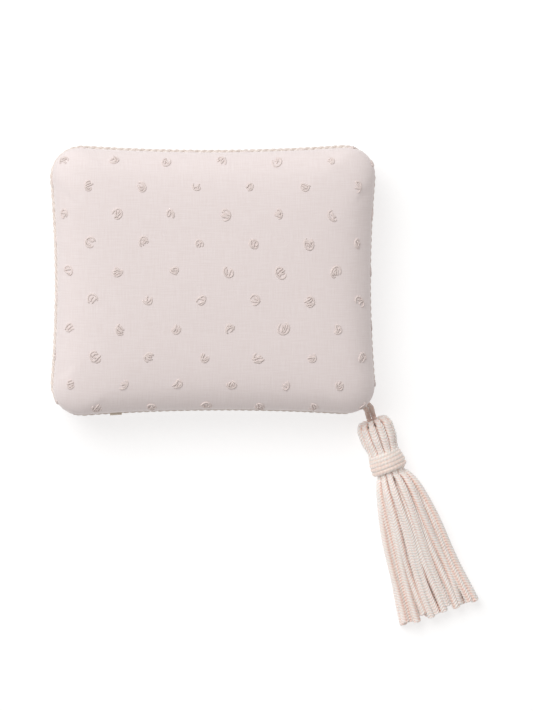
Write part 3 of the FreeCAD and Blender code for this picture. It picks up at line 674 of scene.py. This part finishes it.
def padded(shell, from_seam):
    """Swell a half by cloth simulation with air pressure inside, its seam held, and apply it."""
    mesh = shell.data
    start = points_of(mesh)
    set_points(mesh, start * CLOTH_SCALE)
    held = shell.vertex_groups.new(name="seam")
    for number in np.nonzero(from_seam < HELD_STRIP)[0]:
        held.add([int(number)], 1.0, "REPLACE")
    cloth = air_pressure(shell)
    for number in range(1, CLOTH_FRAMES + 1):
        bpy.context.scene.frame_set(number)
    graph = bpy.context.evaluated_depsgraph_get()
    moved = points_of(shell.evaluated_get(graph).data) / CLOTH_SCALE - start
    shell.modifiers.remove(cloth)
    shell.vertex_groups.remove(held)
    bpy.context.scene.frame_set(1)
    hardly_any = 1e-9
    distance = np.linalg.norm(moved, axis=1)[:, None]
    limited = SWELL_LIMIT * np.tanh(distance / SWELL_LIMIT) / np.maximum(distance, hardly_any)
    fade = eased(from_seam / SWELL_FADE)[:, None]
    set_points(mesh, start + moved * limited * fade)


def settled(shell):
    """The cloth lies flat where it meets the table."""
    points = points_of(shell.data)
    points[:, 2] = np.maximum(points[:, 2], BACK_RESTS_AT)
    set_points(shell.data, points)


def finer(shell, thickness):
    """Round the mesh off and give the cloth its thickness, and apply both."""
    rounding = shell.modifiers.new("rounding", "SUBSURF")
    rounding.levels = 1
    rounding.render_levels = 1
    thick = shell.modifiers.new("thickness", "SOLIDIFY")
    thick.thickness = thickness
    thick.offset = -1
    graph = bpy.context.evaluated_depsgraph_get()
    mesh = bpy.data.meshes.new_from_object(shell.evaluated_get(graph))
    shell.modifiers.clear()
    shell.data = mesh


class Surface:
    """Finds the point of a half that lies at a place on its flattened cloth."""

    def __init__(self, solid, normals, places, faces):
        self.solid = solid
        self.normals = normals
        self.flat = [Vector((*place, 0.0)) for place in places]
        self.triangles = []
        for face in faces:
            self.triangles.append((face[0], face[1], face[2]))
            self.triangles.append((face[0], face[2], face[3]))
        self.tree = BVHTree.FromPolygons(self.flat, self.triangles)

    def at(self, across, along):
        hit = self.tree.ray_cast(Vector((across, along, 1.0)), Vector((0, 0, -1)))
        if hit[0] is None:
            return None
        triangle = self.triangles[hit[2]]
        flat = [self.flat[number] for number in triangle]
        point = barycentric_transform(hit[0], *flat, *[self.solid[number] for number in triangle])
        normal = barycentric_transform(hit[0], *flat, *[self.normals[number] for number in triangle])
        return np.array(point), np.array(normal.normalized())


def cloth_half(side):
    """One cover. Returns its surface, for the spots."""
    points, faces, places, from_seam = half_shell(side, 0.0)
    mesh = make_mesh(f"{side}_panel", points, faces, {"cloth_place": with_third(places)})
    cover = make_piece(f"{side}_panel", mesh, "pillow", COVER, "cover_cloth", f"{side}_cover")
    padded(cover, from_seam)
    if side == "back":
        settled(cover)
    mesh = cover.data
    spotted = [tuple(polygon.vertices) for polygon in mesh.polygons
               if min(from_seam[vertex] for vertex in polygon.vertices) > SPOT_MARGIN]
    solid = [vertex.co.copy() for vertex in mesh.vertices]
    normals = [vertex.normal.copy() for vertex in mesh.vertices]
    finer(cover, COVER_CLOTH)
    return Surface(solid, normals, places, spotted)


def lining_half(side):
    points, faces, places, _ = half_shell(side, LINING_DEPTH)
    mesh = make_mesh(f"{side}_lining_panel", points, faces, {"cloth_place": with_third(places)})
    lining = make_piece(f"{side}_lining_panel", mesh, "pillow", LINING, "lining_cloth", f"{side}_lining")
    finer(lining, LINING_CLOTH)


def stuffing():
    """Both halves at the fill's depth, joined at the waist, with a little fluff."""
    generator = random.Random(7)
    count = 4 * PER_SIDE
    points = []
    faces = []
    seams = []
    for side in ("front", "back"):
        half_points, half_faces, _, _ = half_shell(side, FILL_DEPTH)
        first = sum(len(block) for block in points)
        last_row = len(profile(side, FILL_DEPTH)) - 1
        seams.append(first + last_row * count)
        points.append(half_points)
        faces.extend(tuple(first + number for number in face) for face in half_faces)
    for index in range(count):
        after = (index + 1) % count
        faces.append((seams[0] + index, seams[1] + index, seams[1] + after, seams[0] + after))
    points = np.concatenate(points)
    centre = np.array([0.0, 0.0, SEAM_LEVEL])
    fluff = np.array([generator.uniform(0.0, FLUFF) for _ in points])[:, None]
    points = points + (centre - points) * fluff
    mesh = make_mesh("stuffing", points, faces)
    make_piece("stuffing", mesh, "pillow", FILL, "fill", "fibre_fill")


# ---- spots ----


def arc(radius_x, radius_y, start, stop):
    turns = np.radians(np.linspace(start, stop, 14))
    return np.stack([radius_x * np.cos(turns), radius_y * np.sin(turns)], 1)


def turned(flat, turn):
    """Flat points turned anticlockwise about the middle."""
    return flat @ np.array([[math.cos(turn), math.sin(turn)], [-math.sin(turn), math.cos(turn)]])


def shaken(flat, generator):
    """A stroke made uneven, as clipped thread lies."""
    amount = 0.15
    knots = 4
    shifts = np.array([(generator.uniform(-amount, amount), generator.uniform(-amount, amount))
                       for _ in range(knots)])
    at = np.linspace(0, knots - 1, len(flat))
    return flat + np.stack([np.interp(at, range(knots), shifts[:, axis]) for axis in (0, 1)], 1)


def crossing(number, crossings, lean, generator):
    """One short thread end across a spot, bowed, at its place among the others."""
    steps = 8
    aside = (number - (crossings - 1) / 2) * 1.1 / crossings
    reach = generator.uniform(0.45, 0.95)
    turn = lean + generator.uniform(-0.5, 0.5)
    heading = np.array([math.cos(turn), math.sin(turn)])
    leftwards = np.array([-heading[1], heading[0]])
    across = leftwards * aside
    bow = leftwards * generator.uniform(-0.25, 0.25)
    return resampled(np.array([across - reach * heading, across + bow, across + reach * heading]), steps)


def spot_strokes(generator):
    """Thread ends of one spot, in units of its radius: a broken ring round some short crossings."""
    tall = generator.uniform(0.8, 1.1)
    wide = generator.uniform(0.65, 0.95)
    opening = generator.uniform(30, 150)
    start = generator.uniform(0, 360)
    strokes = [arc(wide, tall, start, start + 360 - opening)]
    lean = generator.uniform(0, math.pi)
    crossings = generator.choice((2, 2, 3, 3, 4))
    for number in range(crossings):
        strokes.append(crossing(number, crossings, lean, generator))
    return [shaken(flat, generator) for flat in strokes]


def lattice_place(row, column):
    """Where a spot's middle falls on the flattened cloth, before it is shifted."""
    across = SPOT_OFFSET + (column + (row % 2) / 2) * SPOT_PITCH - SPOT_LEAN * row * SPOT_ROW
    along = SPOT_OFFSET + row * SPOT_ROW - SPOT_SLOPE * across
    return np.array([across, along])


def laid_on(surface, flat, level, pressed):
    """A stroke's path on the cloth: each lies over the one before, and its ends sink in."""
    path = []
    for step, place in enumerate(flat):
        found = surface.at(*place)
        if found is None:
            continue
        point, normal = found
        ending = abs(2 * step / (len(flat) - 1) - 1) ** 4
        height = 0.2 if pressed else 0.3 + 0.12 * level - 0.5 * ending
        path.append(point + normal * height * SPOT_THREAD)
    return np.array(path)


def spots(side, surface):
    """Swirls of clipped thread in a leaning brick lattice that wraps over the edges."""
    pressed = side == "back"
    thread = SPOT_THREAD * (0.8 if pressed else 1.0)
    fewest_points = 4
    generator = random.Random(SPOT_SEEDS[side])
    bundle = Bundle()
    columns = int(SPOT_REACH[0] / SPOT_PITCH)
    rows = int(SPOT_REACH[1] / SPOT_ROW)
    for row in range(-rows, rows + 1):
        for column in range(-columns, columns + 1):
            middle = lattice_place(row, column)
            middle[0] += generator.uniform(-SPOT_SHIFT, SPOT_SHIFT)
            middle[1] += generator.uniform(-SPOT_SHIFT, SPOT_SHIFT)
            strokes = spot_strokes(generator)
            size = SPOT_SIZE * generator.uniform(0.85, 1.15)
            turn = math.radians(generator.uniform(-SPOT_TURN, SPOT_TURN))
            if surface.at(*middle) is None:
                continue
            for level, flat in enumerate(strokes):
                path = laid_on(surface, middle + size * turned(flat, turn), level, pressed)
                if len(path) >= fewest_points:
                    plain_thread(bundle, path, thread)
    make_piece(f"{side}_thread_spots", bundle.mesh(f"{side}_thread_spots"), "pillow", SHADED_SPOT_THREAD,
               "spot_thread", f"{side}_spots")


# ---- the cord round the seam ----


def cord_line():
    """The edge cord's centre line in plan, with its first point again at the end."""
    line = np.concatenate([quarter[:-1] for quarter in outline(CORD_INSET, CORD_CORNER)])
    return np.concatenate([line, line[:1]])


def edge_cord():
    """Strands laid round each other."""
    strand = STRAND_SHARE * CORD_RADIUS
    helix = CORD_RADIUS - strand
    per_turn = 16
    sides = 8
    line = cord_line()
    turns = round(travelled(line)[-1] / CORD_LAY)
    plan = resampled(line, turns * per_turn)[:-1]
    path = with_third(plan) + SEAM_LEVEL * UP
    out = with_third(outward(plan))
    bundle = Bundle()
    for number in range(CORD_STRANDS):
        angle = 2 * math.pi * (np.arange(len(path)) / per_turn + number / CORD_STRANDS)
        spoke = out * np.cos(angle)[:, None] + UP * np.sin(angle)[:, None]
        centre = path + spoke * helix
        heading = np.roll(centre, -1, axis=0) - np.roll(centre, 1, axis=0)
        heading /= np.linalg.norm(heading, axis=1)[:, None]
        normal = spoke - heading * np.sum(spoke * heading, axis=1)[:, None]
        normal /= np.linalg.norm(normal, axis=1)[:, None]
        bundle.add(centre, heading, normal, np.full((len(path), sides), strand), sides, closed=True)
    make_piece("twisted_edge_cord", bundle.mesh("twisted_edge_cord"), "pillow", CORD, "edge_cord",
               "edge_cord")


def whipping():
    """Thread wound over the butt of the cord's ends."""
    per_turn = 14
    sides = 6
    length = WHIPPING_HIGH[0] - WHIPPING_LOW[0] - 2 * WHIPPING_THREAD
    middle = (WHIPPING_LOW + WHIPPING_HIGH) / 2
    radius = (WHIPPING_HIGH[2] - WHIPPING_LOW[2]) / 2 - WHIPPING_THREAD
    tilt = -middle[0] / END_RADIUS
    heading = np.array([1.0, tilt, 0.0])
    heading /= np.linalg.norm(heading)
    aside = np.cross(UP, heading)
    angle = np.linspace(0, 2 * math.pi * WHIPPING_TURNS, WHIPPING_TURNS * per_turn)
    along = np.linspace(-length / 2, length / 2, len(angle))
    path = (middle + along[:, None] * heading
            + radius * (np.cos(angle)[:, None] * aside + np.sin(angle)[:, None] * UP))
    bundle = Bundle()
    plain_thread(bundle, path, WHIPPING_THREAD, sides)
    make_piece("cord_whipping", bundle.mesh("cord_whipping"), "pillow", WHIPPING, "edge_cord",
               "cord_end_whipping")


# ---- the tassel ----


def cord_turn(index):
    """Where a cord stands round the head."""
    return (2 * index + 1) * math.pi / CORDS


def ring_radius(is_outer, along):
    """A leg's distance from the tassel's axis, above the skirt."""
    in_head = HEAD_OUTER if is_outer else HEAD_INNER
    in_neck = NECK_OUTER if is_outer else NECK_INNER
    above_wrap = eased((along / HEAD_LENGTH - GATHER_START) / (1 - GATHER_START))
    under_wrap = eased((along - HEAD_LENGTH) / WRAP_WIDTH)
    narrowing = GATHER_IN_HEAD * above_wrap + (1 - GATHER_IN_HEAD) * under_wrap
    return in_head + (in_neck - in_head) * narrowing


def leg(index, is_outer, generator):
    """One leg's centre line and thickness, in the tassel's frame, from under the fold to its end.

    In the skirt the upper cords lie on the lower ones, in two layers that fan out.
    """
    turn = cord_turn(index)
    length = TASSEL_LENGTH + generator.uniform(-1.6, 1.0) * MM
    along = np.concatenate([np.linspace(2 * FOLD, NECK_END, 40)[:-1], np.linspace(NECK_END, length, 70)])
    radius = ring_radius(is_outer, along)
    spread = np.clip((along - NECK_END) / (TASSEL_LENGTH - NECK_END), 0, 1.05)
    flare = (spread + FLARE_SOFTNESS) ** FLARE_POWER - FLARE_SOFTNESS ** FLARE_POWER
    sinking = eased(spread * 1.25)
    layer = CORDS // 2
    is_upper = index < layer
    order = index if is_upper else CORDS - 1 - index
    column = 2 * order + (0 if is_outer else 1)
    end_y = ((CORDS - 1) / 2 - column) * SKIRT_SPACING + generator.uniform(-0.3, 0.3) * MM
    level = UPPER_LEVEL + (column % 2) * UPPER_STAGGER if is_upper else LOWER_LEVEL
    end_z = level + generator.uniform(-0.1, 0.35) * MM - HEAD_TOP[2]
    wave = generator.uniform(0, 2 * math.pi)
    sway = SWAY * np.sin(wave + spread * generator.uniform(4, 9)) * np.sqrt(spread)
    y = radius * math.cos(turn) * (1 - flare) + end_y * flare + sway
    z = radius * math.sin(turn) * (1 - sinking) + end_z * sinking
    if is_upper:
        from_edge = min(order, layer - 1 - order)
        bulge = UPPER_BULGE * math.sin(math.pi * (2 * from_edge + 1) / (2 * layer - 2))
        z = z + bulge * np.sin(math.pi * spread)
    packed = CHORD * radius * (1.2 if is_outer else 1.0)
    thickness = packed + (SKIRT_CORD - packed) * eased(spread * 9)
    return np.column_stack([along, y, z, thickness])


def tassel_point(local):
    return HEAD_TOP + local[:, :1] * TASSEL_DOWN + local[:, 1:2] * TASSEL_ACROSS + local[:, 2:3] * UP


def fold_over(turn):
    """The bend at the head's top that joins a cord's inner leg to its outer one."""
    start = 0.55 * FOLD + CHORD * HEAD_MIDDLE / 2 + FOLD_HEIGHT
    thickest = 2.7 * MM
    bends = np.radians(np.linspace(15, 165, 9))
    along = start - FOLD_HEIGHT * np.sin(bends)
    radius = HEAD_MIDDLE - FOLD * np.cos(bends)
    thickness = np.minimum(1.08 * CHORD * radius, thickest)
    over = np.column_stack([along, radius * math.cos(turn), radius * math.sin(turn), thickness])
    return start, over


def tassel_cord(index, generator):
    """One cord: up the inside, folded over at the head and down the outside."""
    turn = cord_turn(index)
    inner = leg(index, False, generator)
    outer = leg(index, True, generator)
    start, over = fold_over(turn)
    inner = inner[inner[:, 0] > start]
    outer = outer[outer[:, 0] > start]
    local = np.concatenate([inner[::-1], over, outer])
    spacing = 0.22 * MM
    segments = int(travelled(local[:, :3])[-1] / spacing)
    local = resampled(local, segments)
    thickness = local[:, 3].copy()
    thickness[[0, -1]] *= 0.8
    inward = -math.cos(turn) * TASSEL_ACROSS - math.sin(turn) * UP
    bundle = Bundle()
    chainette(bundle, tassel_point(local), inward, thickness)
    name = f"tassel_chainette_{index + 1:02d}"
    make_piece(name, bundle.mesh(name), "tassel", YARN, "tassel_yarn", f"tassel_cord_{index + 1:02d}")


def neck_wrap():
    """The same cord, flattened and wound round the neck, its ends tucked under."""
    per_turn = 120
    turns = np.linspace(-WRAP_TUCK, WRAP_TURNS + WRAP_TUCK,
                        int((WRAP_TURNS + 2 * WRAP_TUCK) * per_turn))
    wound = np.clip(turns, 0, WRAP_TURNS)
    pitch = (NECK_LENGTH - WRAP_WIDTH) / WRAP_TURNS
    along = HEAD_LENGTH + WRAP_WIDTH / 2 + wound * pitch
    tucked = np.clip(np.maximum(-turns, turns - WRAP_TURNS) / WRAP_TUCK, 0, 1)
    waist = WRAP_WAIST * (2 * wound / WRAP_TURNS - 1) ** 2
    radius = WRAP_RADIUS - waist - WRAP_TUCK_DEPTH * eased(tucked)
    angle = 2 * math.pi * turns - math.pi / 2
    local = np.column_stack([along, radius * np.cos(angle), radius * np.sin(angle)])
    first = math.cos(angle[0]) * TASSEL_ACROSS + math.sin(angle[0]) * UP
    thickness = np.full(len(local), WRAP_WIDTH)
    bundle = Bundle()
    chainette(bundle, tassel_point(local), first, thickness, flat=WRAP_FLATNESS, depth=WRAP_RELIEF)
    make_piece("neck_binding", bundle.mesh("neck_binding"), "tassel", BAND_YARN, "tassel_yarn",
               "neck_wrap")


def loop_legs(name, points, cad_node):
    """Both legs of the loop along a path, as one piece."""
    path = resampled(np.array(points), 60)
    aside = np.cross(UP, np.gradient(path, axis=0))
    aside /= np.linalg.norm(aside, axis=1)[:, None]
    bundle = Bundle()
    for side in (-1, 1):
        chainette(bundle, path + side * LOOP_ASIDE * aside, UP, np.full(len(path), LOOP_CORD))
    mesh = bundle.mesh(name)
    mesh.materials.append(SHADED_LOOP_YARN)
    legs = bpy.data.objects.new(name, mesh)
    bpy.context.scene.collection.objects.link(legs)
    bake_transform(legs)
    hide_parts(cad_node)


def hanging_loop():
    """The loop from inside the corner's seam, down over the swivel and into the head."""
    heading = LIFT - SWIVEL
    halfway = SWIVEL + heading / 2
    inwards = -SWIVEL * np.array([1, 1, 0])
    inwards /= np.linalg.norm(inwards)
    root = [SWIVEL + LOOP_ROOT * inwards, SWIVEL + LOOP_SEAM * inwards,
            SWIVEL + LOOP_SHOULDER * heading, halfway]
    end = [halfway, LIFT - LOOP_SHOULDER * heading, LIFT + LOOP_ENTRY * TASSEL_DOWN,
           HEAD_TOP + LOOP_END * TASSEL_DOWN]
    loop_legs("loop_root", root, "loop_tail")
    loop_legs("loop_end", end, "hanging_loop")


def loop_knot():
    """The loop's knot inside the head: cord wound into a ball."""
    count = 160
    sides = 8
    turn = np.linspace(0, 2 * math.pi * KNOT_WINDS, count)
    tilt = math.pi * np.linspace(0.08, 0.92, count)
    around = KNOT_SIZE * np.sin(tilt)
    local = np.column_stack([KNOT_DEPTH - KNOT_SIZE * np.cos(tilt), around * np.cos(turn),
                             around * np.sin(turn)])
    bundle = Bundle()
    plain_thread(bundle, tassel_point(local), KNOT_THREAD, sides)
    make_piece("loop_knot_ball", bundle.mesh("loop_knot_ball"), "knot", SHADED_LOOP_YARN, "tassel_yarn",
               "loop_knot")


def tassel():
    generator = random.Random(5)
    for index in range(CORDS):
        tassel_cord(index, generator)
    neck_wrap()
    hanging_loop()
    loop_knot()


def inner_parts():
    """Parts that stay as the CAD has them, in their own thread, tape or cord."""
    finishes = {
        "cord_lip_tape": (TAPE, "tape"),
        "seam_stitches": (SEWING, "sewing_thread"),
        "closing_stitches": (SEWING, "sewing_thread"),
        "loop_tack_stitches": (SEWING, "sewing_thread"),
    }
    for name, (material, slot) in finishes.items():
        part = frame["nodes"][name]
        part.data.materials.clear()
        part.data.materials.append(material)


# ---- studio ----


def floor():
    """Pale paper with a glow of its own, so that shadows on it stay faint."""
    half = 3.0
    level = -0.3 * MM
    corners = [(-half, -half, level), (half, -half, level), (half, half, level), (-half, half, level)]
    mesh = bpy.data.meshes.new("floor")
    mesh.from_pydata(corners, [], [(0, 1, 2, 3)])
    material, shader = new_material("pale_paper", (0.45, 0.45, 0.45), 0.9, specular=0.0)
    shader.inputs["Emission Color"].default_value = (1, 1, 1, 1)
    shader.inputs["Emission Strength"].default_value = 0.64
    mesh.materials.append(material)
    made = bpy.data.objects.new("floor", mesh)
    bpy.context.scene.collection.objects.link(made)


def soft_light(name, place, size, power):
    """A round lamp that points at the middle of the pillow's back."""
    lamp = bpy.data.lights.new(name, "AREA")
    lamp.shape = "DISK"
    lamp.size = size
    lamp.energy = power
    light = bpy.data.objects.new(name, lamp)
    light.location = place
    light.rotation_euler = (-Vector(place)).to_track_quat("-Z", "Y").to_euler()
    bpy.context.scene.collection.objects.link(light)


def studio():
    floor()
    soft_light("key", (-0.52, 0.62, 1.1), size=1.0, power=13.2)
    world = bpy.data.worlds.new("studio")
    world.use_nodes = True
    background = world.node_tree.nodes["Background"]
    background.inputs["Color"].default_value = (1.0, 0.965, 0.94, 1)
    background.inputs["Strength"].default_value = 0.45
    bpy.context.scene.world = world
    bpy.context.scene.view_settings.view_transform = "Standard"


def camera():
    """Almost straight down, from a little up and left of the pillow, with the tassel in view."""
    distance = 2.0
    height_in_view = 277 * MM
    target = np.array([20.8, -29.4, 15.0]) * MM
    backwards = np.array([-0.08, 0.065, 1.0])
    backwards /= np.linalg.norm(backwards)
    upwards = np.array([0.0, 1.0, 0.0])
    upwards -= backwards * (upwards @ backwards)
    upwards /= np.linalg.norm(upwards)
    sideways = np.cross(upwards, backwards)
    lens = bpy.data.cameras.new("camera")
    lens.angle = 2 * math.atan(height_in_view / 2 / distance)
    lens.clip_end = 20.0
    made = bpy.data.objects.new("camera", lens)
    made.location = target + distance * backwards
    made.rotation_euler = Matrix(np.stack([sideways, upwards, backwards], 1).tolist()).to_euler()
    bpy.context.scene.collection.objects.link(made)
    bpy.context.scene.camera = made


for half_side in ("front", "back"):
    spots(half_side, cloth_half(half_side))
    lining_half(half_side)
stuffing()
edge_cord()
whipping()
tassel()
inner_parts()
studio()
camera()
